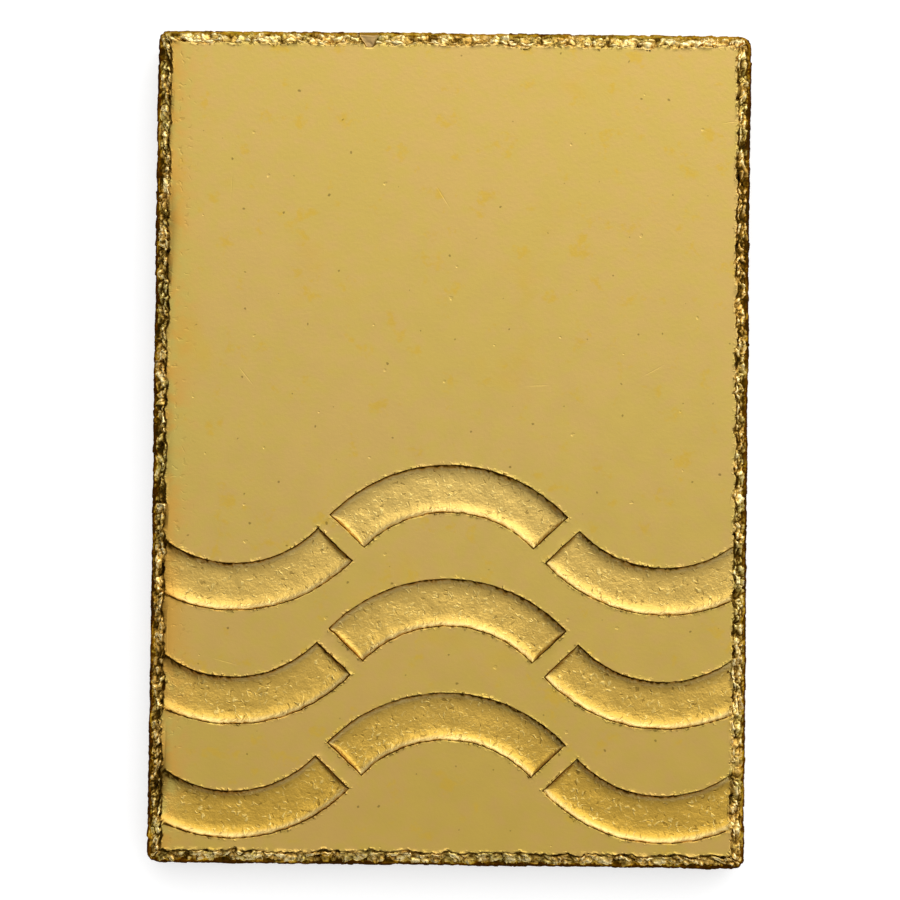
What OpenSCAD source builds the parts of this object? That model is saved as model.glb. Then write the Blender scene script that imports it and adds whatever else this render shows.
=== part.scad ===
// One-gram gold ingot, snapped by hand out of a scored sheet of like bars.
// It lies flat with its struck face up (+Z) and its long side along Y.
// The origin is the centre of the underside. Lengths are in millimetres, angles in degrees.

/* [Bar] */
// Width of the bar, from broken edge to broken edge
bar_width = 7.4; // [5:0.05:12]
// Length of the bar, from broken edge to broken edge
bar_length = 10.35; // [8:0.05:16]
// Thickness of the bar, from face to face
bar_thickness = 0.71; // [0.5:0.01:1.2]
// Radius of the four upright corners
corner_radius = 0.15; // [0.05:0.01:0.4]

/* [Broken edges] */
// Width of the crumbled shoulder round each face, seen from above
shoulder_width = 0.12; // [0.04:0.01:0.2]
// Height by which the shoulder drops from the face
shoulder_drop = 0.07; // [0.03:0.005:0.14]
// Width of the steep scored wall outside the shoulder, seen from above
score_width = 0.08; // [0.02:0.01:0.15]
// Thickness of the web between the two scores, which tore when the bar was snapped off
web_thickness = 0.2; // [0.08:0.01:0.4]

/* [Pressed waves] */
// Number of wave grooves, one above the other
wave_rows = 3; // [1:1:3]
// Length of one wave, from crest to crest
wave_length = 5.3; // [3:0.05:8]
// Angle at which a wave crosses its mid line
wave_angle = 50; // [20:1:60]
// Land left bare between one half of a wave and the next
land_width = 0.22; // [0.1:0.01:0.4]
// Distance between the mid lines of neighbouring grooves
wave_pitch = 1.4; // [1.3:0.05:1.8]
// Distance from the lower edge of the bar to the mid line of the lowest groove
wave_margin = 1.25; // [1:0.05:1.6]
// Width of a groove at the face
groove_width = 0.58; // [0.3:0.01:0.7]
// Depth of a groove below the face
groove_depth = 0.09; // [0.03:0.005:0.14]
// Height of the upright wall along the edge of a groove
wall_height = 0.015; // [0.005:0.005:0.03]
// Width of the hollow curve from a groove's wall down to its floor, seen from above
cove_width = 0.16; // [0.1:0.01:0.25]

/* [Hidden] */
$fn = 96;

// How far a cutting shape reaches past what it cuts
overrun = 0.5;
// How far a groove's cutting shape stands above the face
mouth_clearance = 0.02;
// Width of level floor that a narrow groove keeps between its coves
least_floor_width = 0.03;
score_depth = (bar_thickness - web_thickness) / 2;
half_wave = wave_length / 2;
wave_radius = half_wave / (2 * sin(wave_angle));
// Distance from a wave's mid line to the centres of its arcs
arc_centre_offset = wave_radius * cos(wave_angle);
// Angle that each arc gives up at both ends, so that the land stays bare
land_angle = asin(land_width / 2 / wave_radius);
arc_angle = wave_angle - land_angle;
// Arcs on each side of the middle one that it takes to run off both edges
side_arcs = ceil((bar_width / 2 + overrun) / half_wave);
// The cove's arc leaves the floor level and ends at the foot of the wall, so its radius follows from rise and run
cove_rise = groove_depth - wall_height;
cove_run = max(cove_rise, min(cove_width, (groove_width - least_floor_width) / 2));
cove_radius = (cove_run ^ 2 + cove_rise ^ 2) / (2 * cove_rise);

// Section across the bar: two faces, four crumbled shoulders, four scored walls and the torn web on both sides
module bar_section(width) {
    edge = width / 2;
    shoulder = edge - score_width;
    face = shoulder - shoulder_width;
    upper_right = [
        [edge, bar_thickness - score_depth], [shoulder, bar_thickness - shoulder_drop], [face, bar_thickness]
    ];
    lower_right = [[face, 0], [shoulder, shoulder_drop], [edge, score_depth]];
    right = concat(lower_right, upper_right);
    left = [for (i = [len(right) - 1:-1:0]) [-right[i].x, right[i].y]];
    polygon(concat(right, left));
}

// A bar_section standing upright, drawn out along Y
module drawn_section(width, length) {
    rotate([90, 0, 0])
        linear_extrude(height = length, center = true)
            bar_section(width);
}

module rounded_rectangle(width, length, radius) {
    square([width - 2 * radius, length], center = true);
    square([width, length - 2 * radius], center = true);
    for (x = [-1, 1], y = [-1, 1])
        translate([x * (width / 2 - radius), y * (length / 2 - radius)])
            circle(r = radius);
}

// The blank before its face was pressed: scored on all four sides and mitred where the scores cross
module blank() {
    intersection() {
        drawn_section(bar_width, bar_length + 2 * overrun);
        rotate([0, 0, 90])
            drawn_section(bar_length, bar_width + 2 * overrun);
        linear_extrude(height = bar_thickness)
            rounded_rectangle(bar_width, bar_length, corner_radius);
    }
}

// Section of a groove with its mouth on y = 0: a flat floor, two coves and two short walls
module groove_section() {
    floor_width = groove_width - 2 * cove_run;
    intersection() {
        translate([-groove_width / 2, -groove_depth])
            square([groove_width, groove_depth + mouth_clearance]);
        union() {
            translate([-floor_width / 2, -groove_depth])
                square([floor_width, 2 * cove_radius]);
            for (side = [-1, 1])
                translate([side * floor_width / 2, cove_radius - groove_depth])
                    circle(r = cove_radius);
        }
    }
}

// Half a wave: the groove's section turned through an arc, bulging up (side 1) or down (side -1)
module half_wave_groove(side) {
    translate([0, -side * arc_centre_offset, 0])
        rotate([0, 0, side * 90 - arc_angle])
            rotate_extrude(angle = 2 * arc_angle)
                translate([wave_radius, 0])
                    groove_section();
}

// One wave across the whole bar, with a crest in the middle
module wave_groove() {
    for (step = [-side_arcs:side_arcs])
        translate([step * half_wave, 0, 0])
            half_wave_groove(step % 2 == 0 ? 1 : -1);
}

module ingot() {
    color("goldenrod")
        difference() {
            blank();
            for (row = [0:wave_rows - 1])
                translate([0, wave_margin + row * wave_pitch - bar_length / 2, bar_thickness])
                    wave_groove();
        }
}

ingot();
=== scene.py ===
"""The looks of a small gold ingot: a bar that was pressed with waves and snapped out of a scored sheet.

The bar is one closed surface. Its face is a grid whose lines follow the waves, its rim is a profile carried
round the outline and crumbled where the metal tore, and its underside is plain. Shapes are worked out in
millimetres, with +Z up and the origin at the centre of the underside, and written to the mesh in metres.
"""
from math import asin, ceil, cos, pi, radians, sin
from types import SimpleNamespace

import bpy
import numpy as np
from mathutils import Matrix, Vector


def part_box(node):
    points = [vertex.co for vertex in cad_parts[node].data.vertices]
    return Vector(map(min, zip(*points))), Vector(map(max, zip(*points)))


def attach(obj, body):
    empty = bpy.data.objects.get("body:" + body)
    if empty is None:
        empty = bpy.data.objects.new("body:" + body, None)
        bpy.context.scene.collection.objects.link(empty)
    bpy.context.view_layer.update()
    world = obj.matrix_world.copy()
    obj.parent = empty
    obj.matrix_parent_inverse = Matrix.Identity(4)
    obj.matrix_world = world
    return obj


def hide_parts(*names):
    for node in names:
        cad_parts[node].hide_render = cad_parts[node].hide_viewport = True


bl_info = {
    "name": "Gold Ingot",
    "version": (1, 0, 0),
    "blender": (4, 5, 0),
    "location": "View3D > Sidebar > Ingot",
    "description": "Makes a small gold bar with pressed waves and crumbled edges, and a pale stage for it",
    "category": "Add Mesh",
}

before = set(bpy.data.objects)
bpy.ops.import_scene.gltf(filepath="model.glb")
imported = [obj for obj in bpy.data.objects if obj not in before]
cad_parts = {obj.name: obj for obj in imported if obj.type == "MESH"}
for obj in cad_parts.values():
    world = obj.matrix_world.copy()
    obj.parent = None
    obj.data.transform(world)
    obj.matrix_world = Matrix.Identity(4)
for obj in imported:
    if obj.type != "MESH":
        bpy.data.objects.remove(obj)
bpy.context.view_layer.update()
MM = 0.001
BAR_LOW, BAR_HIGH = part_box("ingot")
BAR_WIDTH, BAR_LENGTH, BAR_THICKNESS = (BAR_HIGH - BAR_LOW) / MM


def length(name, millimetres, description):
    """A length that a user can change, with its default given in millimetres."""
    return bpy.props.FloatProperty(
        name=name, description=description, default=millimetres * MM, min=0, precision=6, unit="LENGTH"
    )


def angle(name, degrees, description):
    """An angle that a user can change, with its default given in degrees."""
    return bpy.props.FloatProperty(
        name=name, description=description, default=radians(degrees), subtype="ANGLE", unit="ROTATION"
    )


def share(name, default, description):
    """A plain number from 0 to 1 that a user can change."""
    return bpy.props.FloatProperty(
        name=name, description=description, default=default, min=0, max=1, subtype="FACTOR"
    )


def level(name, default, description):
    """A plain number, 0 or more, that a user can change."""
    return bpy.props.FloatProperty(name=name, description=description, default=default, min=0)


def by_side(name, default, description):
    """Four plain numbers that a user can change, for the bar's +X, +Y, -X and -Y side."""
    return bpy.props.FloatVectorProperty(name=name, description=description, default=default, size=4, min=0)


def colour(name, default, description):
    """A linear colour that a user can change."""
    return bpy.props.FloatVectorProperty(
        name=name, description=description, default=default, size=3, min=0, max=1, subtype="COLOR"
    )


class IngotShape(bpy.types.PropertyGroup):
    """Sizes of the bar, its waves and its crumbled rim"""

    corner_radius: length("Corner radius", 0.15, "Radius of the four upright corners")
    shoulder_width: length("Shoulder width", 0.12, "Width of the crumbled shoulder, seen from above")
    shoulder_drop: length("Shoulder drop", 0.07, "Height by which the shoulder drops from the face")
    score_width: length("Score width", 0.08, "Width of the steep scored wall, seen from above")
    web_thickness: length("Web thickness", 0.2, "Thickness of the web that tore when the bar was snapped")
    wave_rows: bpy.props.IntProperty(
        name="Wave rows", description="Number of wave grooves, one above the other", default=3, min=1, max=3
    )
    wave_length: length("Wave length", 5.3, "Length of one wave, from crest to crest")
    wave_angle: angle("Wave angle", 50, "Angle at which a wave crosses its mid line")
    land_width: length("Land width", 0.22, "Land left bare between one half of a wave and the next")
    wave_pitch: length("Wave pitch", 1.4, "Distance between the mid lines of neighbouring grooves")
    wave_margin: length("Wave margin", 1.25, "Distance from the lower edge to the lowest groove's mid line")
    groove_width: length("Groove width", 0.58, "Width of a groove at the face")
    groove_depth: length("Groove depth", 0.09, "Depth of a groove below the face")
    wall_height: length("Wall height", 0.015, "Height of the upright wall along the edge of a groove")
    cove_width: length("Cove width", 0.16, "Width of the hollow curve from a groove's wall to its floor")
    end_cove: length("End cove", 0.08, "Width of the hollow curve at the blunt end of a groove")
    floor_swell: length("Floor swell", 0.0065, "How far a groove's frosted floor swells and sinks")
    edge_wander: length("Edge wander", 0.006, "How far a groove's edge strays from its true line")
    burr_height: length("Burr height", 0.011, "Height of the burr that the press raised beside a groove")
    crumb_length: length("Crumb length", 0.125, "Length of a crumb of torn metal along the rim")
    crumb_width: length("Crumb width", 0.062, "Width of a crumb of torn metal across the rim")
    crumb_height: length("Crumb height", 0.027, "How far the crumbs stand out of the rim and sink into it")
    lip_height: length("Lip height", 0.008, "Height of the broken lip between the face and the rim")
    rim_wander: length("Rim wander", 0.026, "How far the line between face and rim strays from straight")
    outline_wander: length("Outline wander", 0.014, "How far the outline falls back from straight")
    chip_place: length("Chip place", 2.64, "Distance from the left side to the chip in the plain end")
    chip_width: length("Chip width", 0.26, "Width of the chip at the outline")
    chip_reach: length("Chip reach", 0.232, "How far the chip reaches in from the outline")
    chip_depth: length("Chip depth", 0.1, "Depth of the chip below the face")


class IngotFinish(bpy.types.PropertyGroup):
    """Colours and gloss of the gold, and the painted shade on its rim and face"""

    face: colour("Face", (0.595, 0.412, 0.114), "Satin gold of the pressed face")
    # Painted shade: darker, deeper gold towards the -Y end, away from the light
    face_low_shade: colour("Low face", (0.555, 0.352, 0.069), "Deeper gold of the face at the end with the waves")
    blush: colour("Blush", (0.64, 0.42, 0.13), "Pinkish cast in patches of the face")
    lime: colour("Lime", (0.60, 0.437, 0.094), "Greenish yellow cast in patches of the face")
    stain: colour("Stain", (0.62, 0.40, 0.055), "Orange stains here and there on the face")
    frosted: colour("Frosted", (0.72, 0.5, 0.145), "Frosted floors of the grooves")
    # Painted shade: darker, deeper floors towards the -Y end, away from the light
    frosted_low_shade: colour("Low frosted", (0.55, 0.335, 0.05), "Deeper gold of the lowest grooves' floors")
    # Painted highlight: bright flecks on the ridges of the frosted floors
    glint_highlight: colour("Fleck", (0.9, 0.69, 0.23), "Bright flecks on the frosted floors")
    torn: colour("Torn", (0.87, 0.705, 0.34), "Bright tops of the torn crumbs on the rim")
    # Painted shade lower down between the crumbs: deeper, darker gold standing in for light bouncing between
    # them, reddish in some patches and greenish in others
    deep: colour("Deep", (0.62, 0.355, 0.07), "Reddish gold lower down between the crumbs")
    olive: colour("Olive", (0.545, 0.412, 0.1), "Greenish gold lower down between the crumbs")
    # Painted shade: the brown of the crevices, the frosted floors' furrows, the nicks and the groove edges
    crevice: colour("Crevice", (0.1, 0.048, 0.004), "Brown between the crumbs and along the grooves")
    # Near black: painted shade along the outside of the rim, standing in for a dark reflection, and the dirt
    # of the face's dark specks
    grime_and_shade: colour("Grime", (0.05, 0.028, 0.004), "Dirt along the outside of the rim")
    edge_tint: colour("Edge tint", (0.5, 0.35, 0.115), "Colour that the gold takes on where seen edge on")
    chip: colour("Chip", (0.37, 0.24, 0.092), "Dull brown of the chip in the plain end's edge")
    cove: colour("Cove", (0.77, 0.575, 0.22), "Burnished hollow curves along the groove walls")
    # Painted shade by side (+X, +Y, -X, -Y): how dark the scored walls and the hollows between the crumbs
    # are made; on the scored walls it stands in for a dark reflection
    wall_shade: by_side("Wall dirt", (0.6, 0.33, 0.72, 0.95), "Dirt on the scored walls of each side")
    crumb_shade: by_side("Crumb dirt", (0.93, 0.7, 0.97, 0.74), "Dirt between the crumbs of each side")
    # Painted shade along the face's left edge
    left_edge_shade: share("Smudge", 0.5, "How dirty the face gets along its left edge")
    face_roughness: share("Face roughness", 0.34, "Roughness of the satin face")
    floor_roughness: share("Floor roughness", 0.36, "Roughness of the frosted floors")
    torn_roughness: share("Torn roughness", 0.11, "Roughness of the torn crumbs")
    # Roughness of the places that painted shade darkens
    shade_and_grime_roughness: share("Grime roughness", 0.6, "Roughness of the dirt")


class IngotStage(bpy.types.PropertyGroup):
    """Floor, light and camera"""

    floor_size: length("Floor size", 3000, "Length of each side of the floor")
    floor_colour: colour("Floor colour", (0.6, 0.6, 0.6), "Colour of the pale floor")
    floor_lift: share("Floor lift", 0.56, "Light that the floor adds where it is seen, to read as white")
    overhead: level("Overhead", 0.965, "Brightness of the light straight above")
    horizon: level("Horizon", 0.42, "Brightness of the light near the horizon")
    light_lean: bpy.props.FloatVectorProperty(
        name="Light lean", description="How much brighter the light gets towards +X and +Y",
        size=2, default=(0.02, 0.24),
    )
    soft: level("Soft light", 1.39, "Extra brightness of the soft light high up beyond the bar's plain end")
    soft_azimuth: angle("Soft azimuth", 78, "Direction of the soft light, turned from +X towards +Y")
    soft_elevation: angle("Soft elevation", 47, "Height of the soft light above the floor")
    key: level("Key", 1.1, "Extra brightness of the broad light to one side")
    key_azimuth: angle("Key azimuth", 37, "Direction of the broad light, turned from +X towards +Y")
    shade: share("Shade", 0.25, "What is left of the light on the side across from the broad light")
    lens: level("Lens", 120, "Focal length of the camera in millimetres, on a sensor 36 mm wide")
    camera_place: bpy.props.FloatVectorProperty(
        name="Camera place", description="Where the camera stands", size=3, precision=6, unit="LENGTH",
        default=(0.263 * MM, -0.872 * MM, 37.66 * MM),
    )
    camera_turn: bpy.props.FloatVectorProperty(
        name="Camera turn", description="Tilt and roll of the camera, which otherwise looks straight down",
        size=3, subtype="EULER", default=(radians(1.313), radians(0.389), radians(0.696)),
    )


def own_properties(props):
    """The properties that a property group adds to those which every group has."""
    return [rna for rna in props.bl_rna.properties if rna.identifier not in ("rna_type", "name")]


def plain_values(props):
    """A property group's values by name, with its lengths in millimetres."""
    values = {}
    for rna in own_properties(props):
        value = getattr(props, rna.identifier)
        is_length = rna.type == "FLOAT" and rna.unit == "LENGTH" and not rna.is_array
        values[rna.identifier] = value / MM if is_length else value
    return SimpleNamespace(**values)


def flank(shape):
    """Width of the whole broken edge, seen from above: the shoulder's and the scored wall's."""
    return shape.shoulder_width + shape.score_width


# Curves and noise on whole arrays

def smooth_step(low, high, x):
    """0 below low, 1 above high, and 3t^2 - 2t^3 between them."""
    t = np.clip((x - low) / (high - low), 0, 1)
    return t * t * (3 - 2 * t)


def bell(x, middle, width):
    """A bell curve: 1 at its middle, and 1/e at width to either side."""
    return np.exp(-(((x - middle) / width) ** 2))


def cell_random(u, v, seed):
    """A fixed number from 0 to 1 for each whole-numbered cell (u, v).

    The cell's numbers are multiplied by large odd numbers, and high bits are shifted down and mixed in.
    """
    mask = np.uint64(0xFFFFFFFF)
    u, v = (np.asarray(n).astype(np.int64).astype(np.uint64) & mask for n in (u, v))
    bits = (u * np.uint64(374761393) + v * np.uint64(668265263) + np.uint64(seed * 2246822519)) & mask
    bits = ((bits ^ (bits >> np.uint64(13))) * np.uint64(1274126177)) & mask
    bits = ((bits ^ (bits >> np.uint64(15))) * np.uint64(2654435761)) & mask
    return (bits ^ (bits >> np.uint64(16))).astype(float) / 2**32


def smooth_noise(u, v, seed):
    """Noise from -1 to 1: random values at whole numbers, blended between the four round each point.

    The blend follows t^3 (6t^2 - 15t + 10), which starts and ends level.
    """
    cell_u, cell_v = np.floor(u), np.floor(v)
    s, t = ((n**3 * (n * (6 * n - 15) + 10)) for n in (u - cell_u, v - cell_v))
    corner = [[cell_random(cell_u + i, cell_v + j, seed) for j in (0, 1)] for i in (0, 1)]
    low = corner[0][0] * (1 - t) + corner[0][1] * t
    high = corner[1][0] * (1 - t) + corner[1][1] * t
    return 2 * (low * (1 - s) + high * s) - 1


def swells(x, y, size, seed):
    """Smooth noise from -1 to 1 in which a swell is about size millimetres wide."""
    return smooth_noise(x / size, y / size, seed)


# Further than a point ever lies from a groove or a crumb
FAR = 9.0
# A crumb's form, in cells: how far it tilts, how much it is rounded off, and its crevices' width and depth
CRUMB_TILT = 2.0
CRUMB_ROUNDING = 0.4
CREVICE_WIDTH = 0.2
CREVICE_DEPTH = 0.4


def crumbs(u, v, wrap, seed):
    """Crumbs of torn metal on the plane (u, v), one to a cell, with u going round after wrap cells.

    Each crumb has a random centre, height and tilt. A point belongs to the crumb with the nearest centre.
    It stands at the crumb's height, plus the tilt times the way from the centre, less a share of that
    distance squared, and less a crevice where the second nearest centre is almost as near. Returns that
    height, about -1 to 1, and how deep the point lies in a crevice, 0 to 1.
    """
    home_u, home_v = np.floor(u), np.floor(v)
    nearest = np.full(u.shape, FAR)
    second = np.full(u.shape, FAR)
    height = np.zeros(u.shape)
    for step_u in (-1, 0, 1):
        for step_v in (-1, 0, 1):
            cell_u, cell_v = home_u + step_u, home_v + step_v
            name_u = np.mod(cell_u, wrap)
            chance = [cell_random(name_u, cell_v, seed + n) for n in range(5)]
            du, dv = u - cell_u - chance[0], v - cell_v - chance[1]
            distance = np.hypot(du, dv)
            tilted = (2 * chance[2] - 1) * du + (2 * chance[3] - 1) * dv
            own = chance[4] - 0.5 + CRUMB_TILT * tilted - CRUMB_ROUNDING * distance**2
            closer = distance < nearest
            second = np.where(closer, nearest, np.minimum(second, distance))
            height = np.where(closer, own, height)
            nearest = np.where(closer, distance, nearest)
    crevice = 1 - smooth_step(0, CREVICE_WIDTH, second - nearest)
    return height - CREVICE_DEPTH * crevice, crevice


# The waves

# Half the width over which a groove's upright wall falls
WALL_LEAN = 0.003
# How far apart two points are on each axis, to tell which way a groove's wall faces
FACING_STEP = 0.008


def wave_layout(shape):
    """The waves' arcs: half a wave spans 2 R sin(angle), and an arc gives up half a land at both ends."""
    half = shape.wave_length / 2
    radius = half / (2 * sin(shape.wave_angle))
    land_angle = asin(shape.land_width / 2 / radius)
    first = shape.wave_margin - BAR_LENGTH / 2
    return SimpleNamespace(
        half=half,
        radius=radius,
        centre_offset=radius * cos(shape.wave_angle),
        arc_angle=shape.wave_angle - land_angle,
        arc_length=2 * radius * shape.wave_angle,
        end=radius * (shape.wave_angle - land_angle),
        mids=first + shape.wave_pitch * np.arange(shape.wave_rows),
    )


def groove_reach(x, y, shape, wave):
    """How far a point lies inside the nearest groove, from its walls and from its ends, negative outside.

    On arc k, centred at k half waves and bulging up for even k, a point at distance r from the centre and
    at angle a from the arc's middle lies w/2 - |r - R| inside the walls and R (arc angle - |a|) inside the
    ends, where w is the groove's width.
    """
    side_reach = np.full(x.shape, -FAR)
    end_reach = np.full(x.shape, -FAR)
    home = np.round(x / wave.half)
    for mid in wave.mids:
        for step in (-1, 0, 1):
            arc = home + step
            bulge = np.where(np.mod(arc, 2) == 0, 1.0, -1.0)
            dx = x - arc * wave.half
            dy = (y - mid) * bulge + wave.centre_offset
            side = shape.groove_width / 2 - np.abs(np.hypot(dx, dy) - wave.radius)
            end = wave.radius * (wave.arc_angle - np.abs(np.arctan2(dx, dy)))
            better = np.minimum(side, end) > np.minimum(side_reach, end_reach)
            side_reach = np.where(better, side, side_reach)
            end_reach = np.where(better, end, end_reach)
    return side_reach, end_reach


def foot_depth(reach, wall, rise, run):
    """Depth of a groove at a distance inside its edge: the upright wall, then an arc that levels out.

    The arc climbs by rise over run and leaves the floor level: its radius is (run^2 + rise^2) / (2 rise).
    """
    radius = (run**2 + rise**2) / (2 * rise)
    inward = run - np.clip(reach, 0, run)
    return wall * smooth_step(-WALL_LEAN, WALL_LEAN, reach) + rise - radius + np.sqrt(radius**2 - inward**2)


def edge_stray(x, y, shape):
    """How far a groove's edge strays at a point: two smooth noises, one coarse and one fine."""
    return shape.edge_wander * (0.6 * swells(x, y, 0.09, 11) + 0.5 * swells(x, y, 0.035, 12))


def face_height(x, y, shape, wave):
    """The pressed face's height, and how sunk, how dark and how burred it is, each about 0 to 1.

    The face is flat at the bar's thickness. A groove sinks by its foot_depth, the smaller of the one from
    its walls and the one from its ends, and its floor swells by a noise. A broken burr rises as a bell curve
    just outside the groove's edge, and a thin line of painted shade runs along it. Walls that face towards
    -X and -Y, away from the light, get a broader ragged band of painted shade and more burrs: there the
    reach inside the groove drops on the way from -X-Y to +X+Y.
    """
    stray = edge_stray(x, y, shape)
    side, end = (reach + stray for reach in groove_reach(x, y, shape, wave))
    rise = shape.groove_depth - shape.wall_height
    sunk = np.minimum(
        foot_depth(side, shape.wall_height, rise, shape.cove_width),
        foot_depth(end, shape.wall_height, rise, shape.end_cove),
    )
    inside = np.minimum(side, end)
    swell = shape.floor_swell * swells(x, y, 0.15, 15) * smooth_step(0.02, 0.12, inside)
    broken = swells(x, y, 0.035, 13) + 0.6 * swells(x, y, 0.4, 14)
    burr = shape.burr_height * smooth_step(0, 0.8, broken) * bell(inside, -0.007, 0.007)
    burred = bell(inside, -0.012, 0.016) * smooth_step(-0.5, 0.8, broken)

    # Which walls face away from the light, towards -X and -Y
    steps = (-FACING_STEP / 2, FACING_STEP / 2)
    before, after = (np.minimum(*groove_reach(x + d, y + d, shape, wave)) for d in steps)
    facing_away = smooth_step(0.1, 1.0, (before - after) / np.hypot(FACING_STEP, FACING_STEP))
    # Painted shade: a ragged dark band inside the walls that face away from the light, and a thin dark line
    # along every groove edge
    shaded_band = facing_away * bell(np.maximum(inside, 0), 0, 0.05) * (inside > -0.004)
    edge_shade = bell(inside, 0.001, 0.008) * smooth_step(-1.6, 0.0, broken)
    edge_shade = edge_shade + 0.9 * shaded_band * smooth_step(-0.4, 0.7, swells(x, y, 0.03, 16))
    height = BAR_THICKNESS - sunk + swell + burr
    return height, sunk / shape.groove_depth, edge_shade, burred * (1 + 0.5 * facing_away)


def face_left_shade(x, y, shape, finish):
    """Painted shade on the face, falling off from its left edge to 1/e every 0.22 mm, and patchy by a noise.
    """
    inward = np.maximum(x + BAR_WIDTH / 2 - flank(shape), 0)
    return finish.left_edge_shade * np.exp(-inward / 0.22) * (1 + 0.35 * smooth_noise(x / 0.2, y / 0.3, 51))


# The face's grid

# Distances inside a groove's edge at which the face has lines, closest where the wall is steep
WALL_LINES = np.array(
    [-0.055, -0.03, -0.014, -0.007, -0.002, 0.002, 0.008, 0.024, 0.045, 0.075, 0.115, 0.17]
)
# Distances from a groove's middle at which its floor has lines
FLOOR_LINES = np.array([-0.06, 0.0, 0.06])
# Distances inside a groove's blunt end at which the face has columns, and the even step between the others
END_LINES = np.array([-0.04, -0.014, -0.007, -0.002, 0.002, 0.008, 0.022, 0.04, 0.062, 0.09])
COLUMN_STEP = 0.024
# Lines in the plain half
PLAIN_LINES = 14
# The face's grid stops this far inside the flank, and the rim's surface takes over a little closer to it
GRID_INSET = 0.06
RIM_INSET = 0.035


def face_columns(wave, reach):
    """Distances along a wave at which the face has columns: even steps, and closer ones at blunt ends."""
    last = round(reach / wave.half)
    edge = last * wave.arc_length + wave.radius * asin((reach - last * wave.half) / wave.radius)
    arcs = np.arange(-last - 1, last + 2) * wave.arc_length
    ends = np.concatenate([arcs - wave.end, arcs + wave.end])
    toward = np.concatenate([np.ones(len(arcs)), -np.ones(len(arcs))])
    close = (ends[:, None] + toward[:, None] * END_LINES).ravel()
    even = np.linspace(-edge, edge, ceil(2 * edge / COLUMN_STEP))
    far = np.abs(even[:, None] - ends).min(axis=1) > np.abs(END_LINES).max() + COLUMN_STEP / 2
    far[[0, -1]] = True
    inside = np.abs(close) < edge - COLUMN_STEP
    return np.sort(np.concatenate([even[far], close[inside]]))


def face_grid(shape, wave):
    """Places of the face's grid, as two arrays (line, column).

    A column at distance s along the wave crosses it square, at x = x0 + d nx for a line at offset d, and
    turns upright near the bar's edges. A line at offset d from a wave's mid line is the arc of radius R + d,
    or R - d where the arc bulges down. The lines crowd at the groove walls, and are even in the plain half.
    """
    reach_x = BAR_WIDTH / 2 - flank(shape) - GRID_INSET
    reach_y = BAR_LENGTH / 2 - flank(shape) - GRID_INSET
    along = face_columns(wave, reach_x)
    arc = np.round(along / wave.arc_length)
    bulge = np.where(np.mod(arc, 2) == 0, 1.0, -1.0)
    turn = (along - arc * wave.arc_length) / wave.radius
    centre_x = arc * wave.half
    x0 = centre_x + wave.radius * np.sin(turn)
    lean = bulge * np.sin(turn) * smooth_step(0, 0.7, reach_x - np.abs(x0))

    wall = shape.groove_width / 2 - WALL_LINES
    offsets = np.concatenate([-wall, FLOOR_LINES, wall[::-1]])
    offset = np.tile(offsets, len(wave.mids))[:, None]
    mid = np.repeat(wave.mids, len(offsets))[:, None]
    x = x0 + offset * lean
    rise = np.sqrt((wave.radius + bulge * offset) ** 2 - (x - centre_x) ** 2) - wave.centre_offset
    y = mid + bulge * rise
    stray = edge_stray(x, y, shape)
    x, y = x + stray * lean, y + stray
    x[:, 0], x[:, -1] = -reach_x, reach_x

    part = np.linspace(0, 1, PLAIN_LINES + 1)[1:, None]
    plain_y = y[-1] * (1 - part) + reach_y * part
    plain_x = np.broadcast_to(x[-1], plain_y.shape)
    return np.vstack([x[:1], x, plain_x]), np.vstack([np.full_like(y[:1], -reach_y), y, plain_y])


# The rim

# Distance between stations on a side, and how many stations a corner has
RIM_STEP = 0.0136
CORNER_STEPS = 14
SMALLEST_RADIUS = 0.02
# What the mesh says of each point: how far into a groove, how torn, how dark with painted shade, how burred
# and how chipped
MARKS = ("sunk", "torn", "shade_and_dirt", "burred", "chipped")


def rim_stations(shape):
    """Stations round the bar, anticlockwise from the foot of the right side: each side, then its corner.

    Returns each station's place on a square from -1 to 1, its outward direction, its place round the
    outline from 0 to 4, its distance along the outline, and the whole way round.
    """
    radius = shape.corner_radius
    places, outwards, rounds, steps = [], [], [], []
    for quarter in range(4):
        side = (BAR_LENGTH if quarter % 2 == 0 else BAR_WIDTH) - 2 * radius
        count = 2 * round(side / RIM_STEP / 2)
        rise = np.linspace(-1, 1, count, endpoint=False)
        swing = np.linspace(0, pi / 2, CORNER_STEPS, endpoint=False)
        fan = np.column_stack([np.cos(swing), np.sin(swing)])
        place = np.vstack([np.column_stack([np.ones(count), rise]), np.ones((CORNER_STEPS, 2))])
        outward = np.vstack([np.tile([1.0, 0.0], (count, 1)), fan])
        turn = np.linalg.matrix_power(np.array([[0, 1], [-1, 0]]), quarter)
        places.append(place @ turn)
        outwards.append(outward @ turn)
        rounds += [quarter + (rise + 1) / 2, np.full(CORNER_STEPS, quarter + 1.0)]
        steps += [np.full(count, side / count), np.full(CORNER_STEPS, radius * pi / 2 / CORNER_STEPS)]
    steps = np.concatenate(steps)
    return SimpleNamespace(
        place=np.vstack(places), outward=np.vstack(outwards), round=np.concatenate(rounds),
        along=np.cumsum(steps) - steps, around=steps.sum(),
    )


def rim_points(station, inset, shape):
    """Points on the outline moved in by inset: a rectangle that keeps what is left of the corner radius."""
    radius = np.maximum(shape.corner_radius - inset, SMALLEST_RADIUS)
    x = station.place[:, 0] * (BAR_WIDTH / 2 - inset - radius) + station.outward[:, 0] * radius
    y = station.place[:, 1] * (BAR_LENGTH / 2 - inset - radius) + station.outward[:, 1] * radius
    return x, y


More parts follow.
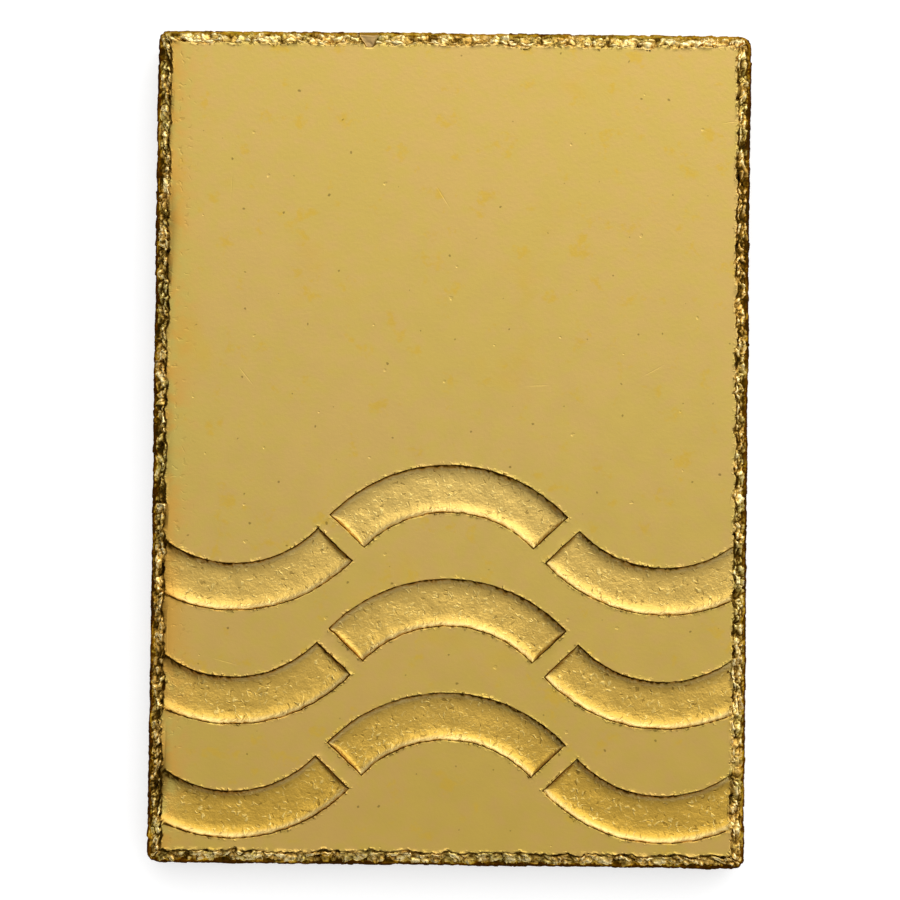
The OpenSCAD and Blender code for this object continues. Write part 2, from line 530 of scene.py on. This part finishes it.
def rim_profile(shape):
    """The rim's section from the face over the edge to the underside, changing evenly between its knots.

    It leaves the face at a lip, drops into a crevice, slopes over the torn crumbs of the shoulder, falls
    down the scored wall to the torn web and comes back under the bar in much the same way.
    """
    edge = flank(shape)
    score = (BAR_THICKNESS - shape.web_thickness) / 2
    knots = np.array([
        # inset, depth below the face, tear, wander, lip, painted shade (darkest on the scored wall and the
        # web), lines up to the next knot
        (edge + RIM_INSET, 0, 0, 0, 0, 0, 1),
        (edge + 0.012, 0, 0, 1, 0.3, 0, 1),
        (edge + 0.003, 0, 0.05, 1, 1, 0.1, 1),
        (edge - 0.008, 0.025, 0.4, 1, 0, 0.8, 2),
        (edge - 0.03, 0.015, 0.9, 0.7, 0, 0.05, 7),
        (shape.score_width, shape.shoulder_drop, 1, 0.3, 0, 0.1, 3),
        (0.55 * shape.score_width, 0.5 * (shape.shoulder_drop + score), 0.5, 0.1, 0, 0.75, 2),
        (0.004, score, 0.25, 0, 0, 1.8, 4),
        (0.004, score + shape.web_thickness, 0.3, 0, 0, 1.2, 3),
        (shape.score_width, BAR_THICKNESS - shape.shoulder_drop, 0.6, 0, 0, 0.5, 3),
        (edge, BAR_THICKNESS, 0.1, 0, 0, 0.4, 1),
        (edge + RIM_INSET, BAR_THICKNESS, 0, 0, 0, 0, 0),
    ])
    lines = knots[:-1, -1].astype(int)
    at = np.concatenate([k + np.arange(n) / n for k, n in enumerate(lines)] + [[len(lines)]])
    columns = [np.interp(at, np.arange(len(knots)), knots[:, c])[:, None] for c in range(6)]
    inset, depth, tear, wander, lip, shade_and_dirt = columns
    return SimpleNamespace(
        inset=inset, height=BAR_THICKNESS - depth, tear=tear, wander=wander, lip=lip, shade_and_dirt=shade_and_dirt
    )


def chip_marks(x, y, shape):
    """Whether a point is in the chip in the plain end's edge, and how near to the chip's rim, both 0 to 1.

    The chip is a blunt bay: at a share d of its reach from the bar's outline, its half width is that at the
    outline times the cube root of 1 - d, and strays by a noise.
    """
    inward = (BAR_LENGTH / 2 - y) / shape.chip_reach
    half = shape.chip_width / 2 * np.cbrt(np.clip(1 - inward, 0, 1))
    inside = half - np.abs(x + BAR_WIDTH / 2 - shape.chip_place) + 0.02 * swells(x, y, 0.05, 61)
    within = smooth_step(1.0, 0.93, inward)
    return within * smooth_step(-0.01, 0.01, inside), within * bell(inside, 0, 0.01)


def rim_crumbs(station, profile, shape, calm):
    """Crumbs of two sizes on the rim, the small ones half as big, at places that a noise moves about.

    Returns the crumbs' height, how deep a point lies in a crevice, and its places along and across the rim.
    """
    run = np.hypot(np.diff(profile.inset, axis=0), np.diff(profile.height, axis=0))
    down = np.concatenate([[[0.0]], np.cumsum(run, axis=0)])
    u, v = np.broadcast_arrays(station.along, down)
    u = u + calm * 0.03 * swells(u, v, 0.11, 25)
    v = v + 0.03 * swells(station.along, v, 0.11, 26)
    wrap = round(station.around / shape.crumb_length)
    big, deep = crumbs(u / station.around * wrap, v / shape.crumb_width, wrap, 31)
    small, fine = crumbs(u / station.around * 2 * wrap, 2 * v / shape.crumb_width, 2 * wrap, 41)
    return big + 0.45 * small, np.maximum(deep, 0.7 * fine), u, v


def rim_surface(shape, finish, wave):
    """The torn rim as arrays (line, station): its stations, points, and marks in the order of MARKS.

    The profile is carried round the outline, with the line to the face straying by a noise and the outline
    falling back by another, both calmed where the round begins and ends. The chip and the grooves that run
    off the face cut into it, and then the crumbs push it out and in, square to the profile. Painted shade
    darkens the crevices, the low parts between the crumbs and the outside walls, more on some sides than on
    others, and on the outside walls it stands in for a dark reflection. The chip's rim is darker as well.
    """
    station, profile = rim_stations(shape), rim_profile(shape)
    along, line = station.along, np.zeros_like(station.along)
    calm = smooth_step(0, 0.3, np.minimum(along, station.around - along))
    strays = 0.7 * swells(along, line, 0.16, 21) + 0.5 * swells(along, line, 0.05, 22)
    fallen = 0.5 + 0.5 * swells(along, line, 0.8, 23)
    outer = np.clip(1 - profile.inset / flank(shape), 0, 1)
    inset = profile.inset + calm * (
        shape.rim_wander * strays * profile.wander + shape.outline_wander * fallen * outer
    )
    x, y = rim_points(station, inset, shape)
    pressed, sunk, edge_shade, burred = face_height(x, y, shape, wave)
    z = np.where(profile.height < BAR_THICKNESS, np.minimum(profile.height, pressed), pressed)
    z = z + profile.lip * shape.lip_height * smooth_step(-0.1, 0.8, swells(along, line, 0.06, 24))
    chipped, chip_rim = chip_marks(x, y, shape)
    z = z - chipped * np.maximum(z - BAR_THICKNESS + shape.chip_depth, 0)

    crumb, crevice, u, v = rim_crumbs(station, profile, shape, calm)
    push = shape.crumb_height * profile.tear * (1 - 0.85 * chipped) * (crumb - 0.1)
    out_slope, up_slope = (np.gradient(n[:, 0])[:, None] for n in (-profile.inset, profile.height))
    steep = np.hypot(out_slope, up_slope)
    push_out, push_up = -up_slope / steep, out_slope / steep
    x = np.clip(x + push * push_out * station.outward[:, 0], -BAR_WIDTH / 2, BAR_WIDTH / 2)
    y = np.clip(y + push * push_out * station.outward[:, 1], -BAR_LENGTH / 2, BAR_LENGTH / 2)
    z = np.clip(z + push * push_up, 0, BAR_THICKNESS + shape.lip_height)

    # Painted shade, weighted side by side
    toward = np.clip(np.hstack([station.outward, -station.outward]), 0, 1)
    wall_shade, crumb_shade = (toward**2 @ np.array(side) for side in (finish.wall_shade, finish.crumb_shade))
    patchy = 0.2 * swells(along, line, 0.5, 27) + 0.4 * smooth_noise(u / 0.14, v / 0.11, 28)
    # Painted shade in the hollows: the crumbs' low parts and the crevices between them
    hollow = 0.5 * smooth_step(0.5, -0.6, crumb) + 0.45 * crevice
    shade_and_dirt = profile.shade_and_dirt * wall_shade + hollow * smooth_step(0.2, 0.8, profile.tear) * crumb_shade
    shade_and_dirt = shade_and_dirt * (1 + calm * patchy) * (1 - chipped) + 0.55 * chip_rim
    torn = np.maximum(smooth_step(0, 0.4, profile.tear), chipped)
    on_face = (1 - torn) * (profile.height > BAR_THICKNESS / 2)
    shade_and_dirt = np.clip(shade_and_dirt + on_face * (edge_shade + face_left_shade(x, y, shape, finish)), 0, 1)
    burred = np.maximum(profile.lip, on_face * burred) * (1 - chipped)
    return station, np.stack([x, y, z], axis=-1), (on_face * sunk, torn, shade_and_dirt, burred, chipped)


# Joining surfaces

# The rim's line at which the torn web begins
WEB_LINE = 18
# The underside's grid stops this far inside the lower flank
UNDER_INSET = 0.25
UNDER_LINES = 29


def perimeter_share(x, y, reach_x, reach_y):
    """Where a point on a rectangle's outline lies, 0 to 4, anticlockwise from the right side's foot."""
    fx, fy = np.clip(x / reach_x, -1, 1), np.clip(y / reach_y, -1, 1)
    right, top, left = fx >= np.abs(fy), fy >= np.abs(fx), -fx >= np.abs(fy)
    return np.where(right, fy + 1, np.where(top, 3 - fx, np.where(left, 5 - fy, 7 + fx))) / 2


def quads(index, closed):
    """Faces between the lines of a grid of vertex numbers, with each line joined up if closed."""
    ahead = np.roll(index, -1, axis=1) if closed else index[:, 1:]
    here = index if closed else index[:, :-1]
    return np.stack([here[:-1], here[1:], ahead[1:], ahead[:-1]], axis=-1).reshape(-1, 4)


def zip_loops(outer, outer_at, inner, inner_at):
    """Triangles between two closed loops of vertex numbers, both anticlockwise from place 0 of the outline.

    All the steps along both loops are put in order of place, and each step makes one triangle with the
    vertex that the other loop has come to.
    """
    goals = np.concatenate([inner_at[1:], [inner_at[0] + 4], outer_at[1:], [outer_at[0] + 4]])
    on_outer = np.argsort(goals, kind="stable") >= len(inner)
    a = np.cumsum(on_outer) - on_outer
    b = np.cumsum(~on_outer) - ~on_outer
    a_here, b_here = outer[a % len(outer)], inner[b % len(inner)]
    a_next, b_next = outer[(a + 1) % len(outer)], inner[(b + 1) % len(inner)]
    return np.stack([a_here, np.where(on_outer, a_next, b_next), b_here], axis=-1)


def grid_border(index, points):
    """A grid's outline as vertex numbers, anticlockwise from its right side's foot, and their places."""
    loop = np.concatenate([index[:-1, -1], index[-1, :0:-1], index[:0:-1, 0], index[0, :-1]])
    x, y = points[loop, 0], points[loop, 1]
    return loop, perimeter_share(x, y, x.max(), y.max())


def bar_mesh(shape, finish):
    """The whole bar as one closed mesh: its face, upper rim, lower rim and underside, zipped together.

    Below the torn web the rim has every second station only.
    """
    wave = wave_layout(shape)
    face_x, face_y = face_grid(shape, wave)
    face_z, sunk, edge_shade, burred = face_height(face_x, face_y, shape, wave)
    # Painted shade along the groove edges and along the face's left edge
    shade_and_dirt = np.clip(edge_shade + face_left_shade(face_x, face_y, shape, finish), 0, 1)
    station, rim, rim_marks = rim_surface(shape, finish, wave)
    under_reach = [half - flank(shape) - UNDER_INSET for half in (BAR_WIDTH / 2, BAR_LENGTH / 2)]
    under_x, under_y = np.meshgrid(*(np.linspace(-n, n, UNDER_LINES) for n in under_reach))

    above_web, below_web = np.s_[:WEB_LINE], np.s_[WEB_LINE:, ::2]
    points, marks, ids = [], [], []
    for place, mark in (
        (np.stack([face_x, face_y, face_z], axis=-1), (sunk, 0 * sunk, shade_and_dirt, burred, 0 * sunk)),
        (rim[above_web], [m[above_web] for m in rim_marks]),
        (rim[below_web], [m[below_web] for m in rim_marks]),
        (np.stack([under_x, under_y, 0 * under_x], axis=-1), (0 * under_x,) * len(MARKS)),
    ):
        ids.append(sum(map(len, points)) + np.arange(place[..., 0].size).reshape(place.shape[:2]))
        points.append(place.reshape(-1, 3))
        marks.append(np.stack([m.ravel() for m in mark]))
    points, marks = np.vstack(points), np.hstack(marks)
    face, upper, lower, under = ids

    all_round, half_round = station.round, station.round[::2]
    triangles = np.vstack([
        zip_loops(upper[0], all_round, *grid_border(face, points)),
        zip_loops(lower[0], half_round, upper[-1], all_round),
        zip_loops(lower[-1], half_round, *grid_border(under, points))[:, ::-1],
    ])
    squares = np.vstack([
        quads(face, False)[:, ::-1], quads(upper, True), quads(lower, True), quads(under, False)
    ])
    mesh = bpy.data.meshes.new("ingot_bar")
    mesh.from_pydata(points * MM, [], squares.tolist() + triangles.tolist())
    mesh.update()
    mesh.shade_smooth()
    for name, values in zip(MARKS, marks):
        mesh.attributes.new(name, "FLOAT", "POINT").data.foreach_set("value", values.astype(np.float32))
    return mesh


# Nodes

def empty_tree(owner):
    """The node tree of a new material or world, with nothing in it yet."""
    owner.use_nodes = True
    owner.node_tree.nodes.clear()
    return owner.node_tree


def put(tree, kind, inputs=None, **settings):
    """Adds a node to a tree, with its settings, and its inputs set to values or linked to sockets."""
    made = tree.nodes.new(kind)
    for name, value in settings.items():
        setattr(made, name, value)
    for name, value in (inputs or {}).items():
        if isinstance(value, bpy.types.NodeSocket):
            tree.links.new(value, made.inputs[name])
        else:
            made.inputs[name].default_value = value
    return made


def calculate(tree, operation, first, second=0.0):
    """A Math node's result."""
    return put(tree, "ShaderNodeMath", {0: first, 1: second}, operation=operation).outputs[0]


def times(tree, first, second):
    """The product of two values."""
    return calculate(tree, "MULTIPLY", first, second)


def add(tree, *terms):
    """The sum of several values."""
    total = terms[0]
    for term in terms[1:]:
        total = calculate(tree, "ADD", total, term)
    return total


def vector_math(tree, operation, *terms):
    """A Vector Math node's outputs."""
    return put(tree, "ShaderNodeVectorMath", dict(enumerate(terms)), operation=operation).outputs


def ramp(tree, value, low, high, to_low=0.0, to_high=1.0):
    """Value carried smoothly from low..high to to_low..to_high, and held beyond them."""
    inputs = {"Value": value, "From Min": low, "From Max": high, "To Min": to_low, "To Max": to_high}
    return put(tree, "ShaderNodeMapRange", inputs, interpolation_type="SMOOTHSTEP").outputs["Result"]


def mix_colour(tree, factor, first, second):
    """Two colours mixed by a factor. A plain colour gets its alpha here."""
    full = [c if isinstance(c, bpy.types.NodeSocket) else (*c, 1) for c in (first, second)]
    inputs = {"Factor": factor, 6: full[0], 7: full[1]}
    return put(tree, "ShaderNodeMix", inputs, data_type="RGBA").outputs[2]


def mix_number(tree, factor, first, second):
    """Two numbers mixed by a factor."""
    inputs = {"Factor": factor, "A": first, "B": second}
    return put(tree, "ShaderNodeMix", inputs, data_type="FLOAT").outputs[0]


def grain(tree, place, per_mm, detail=2.0, roughness=0.5):
    """Noise about 0 with so many swells to a millimetre."""
    inputs = {"Vector": place, "Scale": per_mm, "Detail": detail, "Roughness": roughness}
    return calculate(tree, "SUBTRACT", put(tree, "ShaderNodeTexNoise", inputs).outputs["Fac"], 0.5)


def moved(tree, place, shift):
    """The same place for another pattern, shifted so that the two don't line up."""
    return put(tree, "ShaderNodeMapping", {"Vector": place, "Location": shift}).outputs["Vector"]


def ragged(tree, place, per_mm, reach):
    """The same place moved about by a noise, so that round shapes come out ragged."""
    noise = put(tree, "ShaderNodeTexNoise", {"Vector": place, "Scale": per_mm, "Detail": 1.0})
    return vector_math(tree, "MULTIPLY_ADD", noise.outputs["Color"], (reach, reach, 0.0), place)["Vector"]


def mosaic(tree, place, per_mm):
    """A random mosaic with so many cells to a millimetre: its outputs, and three chances for each cell."""
    inputs = {"Vector": place, "Scale": per_mm}
    cells = put(tree, "ShaderNodeTexVoronoi", inputs, voronoi_dimensions="2D").outputs
    return cells, put(tree, "ShaderNodeSeparateColor", {"Color": cells["Color"]}).outputs


def keep_some(tree, mark, chance, kept):
    """A mark in a share of a mosaic's cells only."""
    return times(tree, mark, ramp(tree, chance, 1 - kept, 1 - kept + 0.01))


def specks(tree, place, per_mm, size, kept):
    """Small round specks in a share of a mosaic's cells, 0.4 to 1 times the size: 1 at a speck's middle."""
    cells, chance = mosaic(tree, place, per_mm)
    reach = ramp(tree, chance["Green"], 0.0, 1.0, 0.4 * size * per_mm, size * per_mm)
    inner = calculate(tree, "SUBTRACT", reach, cells["Distance"])
    speck = ramp(tree, inner, -0.3 * size * per_mm, 0.3 * size * per_mm)
    return keep_some(tree, speck, chance["Red"], kept)


def strokes(tree, place, per_mm, long, wide, kept):
    """Short strokes at random angles in a share of a mosaic's cells: 1 along a stroke's middle."""
    cells, chance = mosaic(tree, place, per_mm)
    away = vector_math(tree, "SUBTRACT", place, cells["Position"])["Vector"]
    inputs = {"Vector": away, "Angle": times(tree, chance["Blue"], pi)}
    turned = put(tree, "ShaderNodeVectorRotate", inputs, rotation_type="Z_AXIS").outputs["Vector"]
    drawn = vector_math(tree, "MULTIPLY", turned, (2 / long, 2 / wide, 0.0))["Vector"]
    stroke = ramp(tree, vector_math(tree, "LENGTH", drawn)["Value"], 1.0, 0.3)
    return keep_some(tree, stroke, chance["Red"], kept)


# Gold

def face_nicks(tree, curly, across, shape):
    """Nicks in the face within 0.45 mm of its left edge, stronger towards it."""
    left = flank(shape) - BAR_WIDTH / 2
    near = ramp(tree, across, left + 0.45, left)
    return times(tree, strokes(tree, moved(tree, curly, (2.3, 0.4, 0)), 9.0, 0.09, 0.03, 0.5), near)


def face_colour(tree, place, uneven, low, patch, nick, finish):
    """Satin gold, darker and deeper towards the low end as painted shade, with pinkish and greenish patches,
    stains, specks and nicks.
    """
    cast = mix_colour(tree, ramp(tree, patch, -0.2, 0.2), finish.blush, finish.lime)
    body = mix_colour(tree, 0.55, mix_colour(tree, low, finish.face, finish.face_low_shade), cast)
    broad = grain(tree, moved(tree, place, (3.1, 7.7, 0)), 0.55, 4.0, 0.65)
    spotty = grain(tree, moved(tree, place, (1.7, 4.9, 0)), 3.2, 3.0, 0.65)
    stained = calculate(
        tree, "MAXIMUM", ramp(tree, broad, 0.08, 0.26, 0.0, 0.65), ramp(tree, spotty, 0.08, 0.21, 0.0, 0.75)
    )
    body = mix_colour(tree, stained, body, finish.stain)
    dark = specks(tree, moved(tree, uneven, (0.3, 0.2, 0)), 1.5, 0.016, 0.85)
    body = mix_colour(tree, times(tree, dark, 0.5), body, finish.grime_and_shade)
    # Painted shade in the nicks
    return mix_colour(tree, times(tree, nick, 0.35), body, finish.crevice)


def floor_strokes(tree, place, curly):
    """Ridges and furrows of the frosted floors, short strokes that are stronger in clumps."""
    clump = ramp(tree, grain(tree, moved(tree, place, (8.1, 2.7, 0)), 5.0), -0.12, 0.12, 0.3, 1.1)
    ridge = strokes(tree, curly, 13.0, 0.085, 0.03, 0.6)
    furrow = strokes(tree, moved(tree, curly, (0.6, 2.2, 0)), 11.0, 0.085, 0.032, 0.45)
    return times(tree, ridge, clump), times(tree, furrow, clump)


def frosted_colour(tree, low, ridge, furrow, finish):
    """Frosted gold with painted shade towards the low end, painted highlights on ridges and painted shade in
    furrows.
    """
    frosted = mix_colour(tree, low, finish.frosted, finish.frosted_low_shade)
    # Painted highlights on the ridges
    frosted = mix_colour(tree, times(tree, ridge, 0.52), frosted, finish.glint_highlight)
    # Painted shade in the furrows
    return mix_colour(tree, times(tree, furrow, 0.42), frosted, finish.crevice)


def bump_height(tree, place, uneven, mark, nick, ridge, furrow):
    """Relief too fine for the mesh, in micrometres.

    The face has its satin, pits, scratches and nicks, the floors have their frost, torn metal is crumpled,
    and small dots stand on the burred edges.
    """
    bare = calculate(tree, "MAXIMUM", ramp(tree, mark.sunk, 0.05, 0.5), mark.torn)
    bare = calculate(tree, "SUBTRACT", 1.0, bare)
    satin = times(tree, grain(tree, place, 26.0, 3.0, 0.6), 1.2)
    pit = times(tree, specks(tree, moved(tree, uneven, (5.3, 1.9, 0)), 1.3, 0.02, 0.45), -2.6)
    scratch = times(tree, strokes(tree, place, 0.8, 0.4, 0.02, 0.25), -0.9)
    face = add(tree, satin, pit, scratch, times(tree, nick, -2.0))
    frost = times(tree, grain(tree, place, 17.0, 3.0, 0.65), 10.0)
    frost = add(tree, frost, times(tree, calculate(tree, "SUBTRACT", ridge, furrow), 3.0))
    crumple = times(tree, grain(tree, place, 26.0, 2.0), 9.0)
    dots = ramp(tree, grain(tree, place, 24.0, 1.0), 0.0, 0.2, 0.0, 13.0)
    return add(
        tree,
        times(tree, face, bare),
        times(tree, frost, ramp(tree, mark.sunk, 0.2, 0.75)),
        times(tree, crumple, calculate(tree, "SUBTRACT", mark.torn, mark.chipped)),
        times(tree, dots, mark.burred),
    )


def gold_roughness(tree, place, mark, finish):
    """Roughness of the face and the floors with faint dull patches, then of torn metal, chip, and places
    darkened by painted shade.
    """
    dull = ramp(tree, grain(tree, place, 3.0, 3.0), -0.2, 0.2, -0.03, 0.03)
    rough = add(tree, mix_number(tree, mark.sunk, finish.face_roughness, finish.floor_roughness), dull)
    rough = mix_number(tree, mark.torn, rough, finish.torn_roughness)
    rough = mix_number(tree, mark.chipped, rough, finish.face_roughness)
    return mix_number(tree, mark.shade_and_dirt, rough, finish.shade_and_grime_roughness)


def gold_material(finish, shape):
    """Gold in one material: a satin face, grooves with burnished coves and frosted floors, and a torn rim.

    The attribute sunk marks the grooves, torn the rim, burred the edges with small bright burrs and chipped
    the chip, and the third of MARKS says how far painted shade darkens a place. Painted shade turns the gold
    deeper, reddish in some patches and greenish in others, then brown and at last dark.
    """
    material = bpy.data.materials.new("struck_gold")
    tree = empty_tree(material)
    here = put(tree, "ShaderNodeTexCoord").outputs["Object"]
    place = put(tree, "ShaderNodeMapping", {"Vector": here, "Scale": (1 / MM,) * 3}).outputs["Vector"]
    spot = put(tree, "ShaderNodeSeparateXYZ", {0: place}).outputs
    mark = SimpleNamespace(**{
        name: put(tree, "ShaderNodeAttribute", attribute_name=name).outputs["Fac"] for name in MARKS
    })
    # Painted shade: 0 above y = 1 mm and 1 below y = -5 mm, darkening towards the -Y end
    low = ramp(tree, spot["Y"], 1.0, -5.0)
    patch = add(tree, grain(tree, place, 0.8, 4.0, 0.6), times(tree, grain(tree, place, 6.0, 2.0), 0.9))
    uneven, curly = ragged(tree, place, 24.0, 0.03), ragged(tree, place, 15.0, 0.1)
    nick = face_nicks(tree, curly, spot["X"], shape)
    ridge, furrow = floor_strokes(tree, place, curly)

    body = face_colour(tree, place, uneven, low, patch, nick, finish)
    frosted = frosted_colour(tree, low, ridge, furrow, finish)
    # Painted shade between the crumbs, reddish in some patches and greenish in others
    depth = mix_colour(tree, ramp(tree, patch, -0.16, 0.26), finish.deep, finish.olive)
    for factor, over in (
        (ramp(tree, mark.sunk, 0.1, 0.35), finish.cove),
        (ramp(tree, mark.sunk, 0.4, 0.85), frosted),
        (mark.torn, finish.torn),
        (mark.chipped, finish.chip),
        # Painted shade: deeper gold, then brown, then dark
        (ramp(tree, mark.shade_and_dirt, 0.0, 0.4), depth),
        (ramp(tree, mark.shade_and_dirt, 0.3, 0.75), finish.crevice),
        (ramp(tree, mark.shade_and_dirt, 0.75, 1.0), finish.grime_and_shade),
    ):
        body = mix_colour(tree, factor, body, over)

    height = bump_height(tree, place, uneven, mark, nick, ridge, furrow)
    bump = put(tree, "ShaderNodeBump", {"Height": height, "Strength": 1.0, "Distance": 1e-6})
    shader = put(tree, "ShaderNodeBsdfPrincipled", {
        "Base Color": body, "Roughness": gold_roughness(tree, place, mark, finish), "Metallic": 1.0,
        "Specular Tint": (*finish.edge_tint, 1), "Normal": bump.outputs["Normal"],
    })
    put(tree, "ShaderNodeOutputMaterial", {"Surface": shader.outputs["BSDF"]})
    return material


# The stage

# The soft light is full this close to its middle, and fades out this far from it
SOFT_CORE = radians(10)
SOFT_EDGE = radians(42)


def floor_material(stage):
    """A pale matt floor that keeps its shadow, lifted towards white where the camera or a mirror sees it."""
    material = bpy.data.materials.new("pale_floor")
    tree = empty_tree(material)
    path = put(tree, "ShaderNodeLightPath").outputs
    seen = calculate(tree, "MAXIMUM", path["Is Camera Ray"], path["Is Glossy Ray"])
    seen = calculate(tree, "MAXIMUM", seen, path["Is Transmission Ray"])
    matt = put(tree, "ShaderNodeBsdfDiffuse", {"Color": (*stage.floor_colour, 1)})
    lift = put(tree, "ShaderNodeEmission", {"Strength": times(tree, seen, stage.floor_lift)})
    both = put(tree, "ShaderNodeAddShader", {0: matt.outputs[0], 1: lift.outputs[0]})
    put(tree, "ShaderNodeOutputMaterial", {"Surface": both.outputs[0]})
    return material


def studio_world(stage):
    """Light by direction: a sky, bright above, that leans to one side and has a shaded side, and two lights.

    The broad light and the shade depend on how far a direction points towards the broad light, and the
    soft light on the angle from its middle.
    """
    world = bpy.data.worlds.new("studio")
    tree = empty_tree(world)
    direction = put(tree, "ShaderNodeTexCoord").outputs["Generated"]
    up = put(tree, "ShaderNodeSeparateXYZ", {0: direction}).outputs["Z"]
    flat = cos(stage.soft_elevation)
    lean, facing, close = (
        vector_math(tree, "DOT_PRODUCT", direction, toward)["Value"] for toward in (
            (*stage.light_lean, 0.0),
            (cos(stage.key_azimuth), sin(stage.key_azimuth), 0.0),
            (flat * cos(stage.soft_azimuth), flat * sin(stage.soft_azimuth), sin(stage.soft_elevation)),
        )
    )
    sky = ramp(tree, up, 0.0, 0.72, stage.horizon, stage.overhead)
    sky = times(tree, sky, calculate(tree, "ADD", lean, 1.0))
    sky = times(tree, sky, ramp(tree, facing, -0.5, -0.95, 1.0, stage.shade))
    key = ramp(tree, facing, 0.25, 0.85, 0.0, stage.key)
    soft = ramp(tree, close, cos(SOFT_EDGE), cos(SOFT_CORE), 0.0, stage.soft)
    light = put(tree, "ShaderNodeBackground", {"Strength": add(tree, sky, key, soft)})
    put(tree, "ShaderNodeOutputWorld", {"Surface": light.outputs[0]})
    return world


# Operators

class INGOT_OT_bar(bpy.types.Operator):
    """Makes the bar with its pressed face, torn rim and plain underside"""

    bl_idname = "ingot.bar"
    bl_label = "Make the bar"

    def execute(self, context):
        finish = plain_values(context.scene.ingot_finish)
        shape = plain_values(context.scene.ingot_shape)
        mesh = bar_mesh(shape, finish)
        mesh.materials.append(gold_material(finish, shape))
        bar = bpy.data.objects.new("ingot_bar", mesh)
        context.scene.collection.objects.link(bar)
        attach(bar, "root")
        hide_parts("ingot")
        return {"FINISHED"}


class INGOT_OT_stage(bpy.types.Operator):
    """Makes the pale floor, the soft light and the camera above the bar"""

    bl_idname = "ingot.stage"
    bl_label = "Set the stage"

    def execute(self, context):
        scene = context.scene
        stage = scene.ingot_stage
        reach = stage.floor_size / 2
        corners = np.array([(-1, -1, 0), (1, -1, 0), (1, 1, 0), (-1, 1, 0)]) * reach
        mesh = bpy.data.meshes.new("floor")
        mesh.from_pydata(corners, [], [(0, 1, 2, 3)])
        mesh.materials.append(floor_material(stage))
        floor = bpy.data.objects.new("floor", mesh)
        scene.collection.objects.link(floor)
        scene.world = studio_world(stage)
        lens = bpy.data.cameras.new("camera")
        lens.lens = stage.lens
        lens.clip_start = MM
        camera = bpy.data.objects.new("camera", lens)
        camera.location = stage.camera_place
        camera.rotation_euler = stage.camera_turn
        scene.collection.objects.link(camera)
        scene.camera = camera
        scene.view_settings.view_transform = "Standard"
        return {"FINISHED"}


class INGOT_PT_panel(bpy.types.Panel):
    """Sizes, colours and light of the ingot"""

    bl_idname = "INGOT_PT_panel"
    bl_label = "Gold ingot"
    bl_space_type = "VIEW_3D"
    bl_region_type = "UI"
    bl_category = "Ingot"

    def draw(self, context):
        operators = {"ingot_finish": INGOT_OT_bar, "ingot_stage": INGOT_OT_stage}
        for name in GROUPS:
            props = getattr(context.scene, name)
            box = self.layout.box()
            for rna in own_properties(props):
                box.prop(props, rna.identifier)
            if name in operators:
                box.operator(operators[name].bl_idname)


GROUPS = {"ingot_shape": IngotShape, "ingot_finish": IngotFinish, "ingot_stage": IngotStage}
CLASSES = (*GROUPS.values(), INGOT_OT_bar, INGOT_OT_stage, INGOT_PT_panel)


def register():
    for cls in CLASSES:
        bpy.utils.register_class(cls)
    for name, group in GROUPS.items():
        setattr(bpy.types.Scene, name, bpy.props.PointerProperty(type=group))


def unregister():
    for name in GROUPS:
        delattr(bpy.types.Scene, name)
    for cls in reversed(CLASSES):
        bpy.utils.unregister_class(cls)


def main():
    """Registers the classes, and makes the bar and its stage."""
    register()
    bpy.ops.ingot.bar()
    bpy.ops.ingot.stage()


if __name__ == "__main__":
    main()
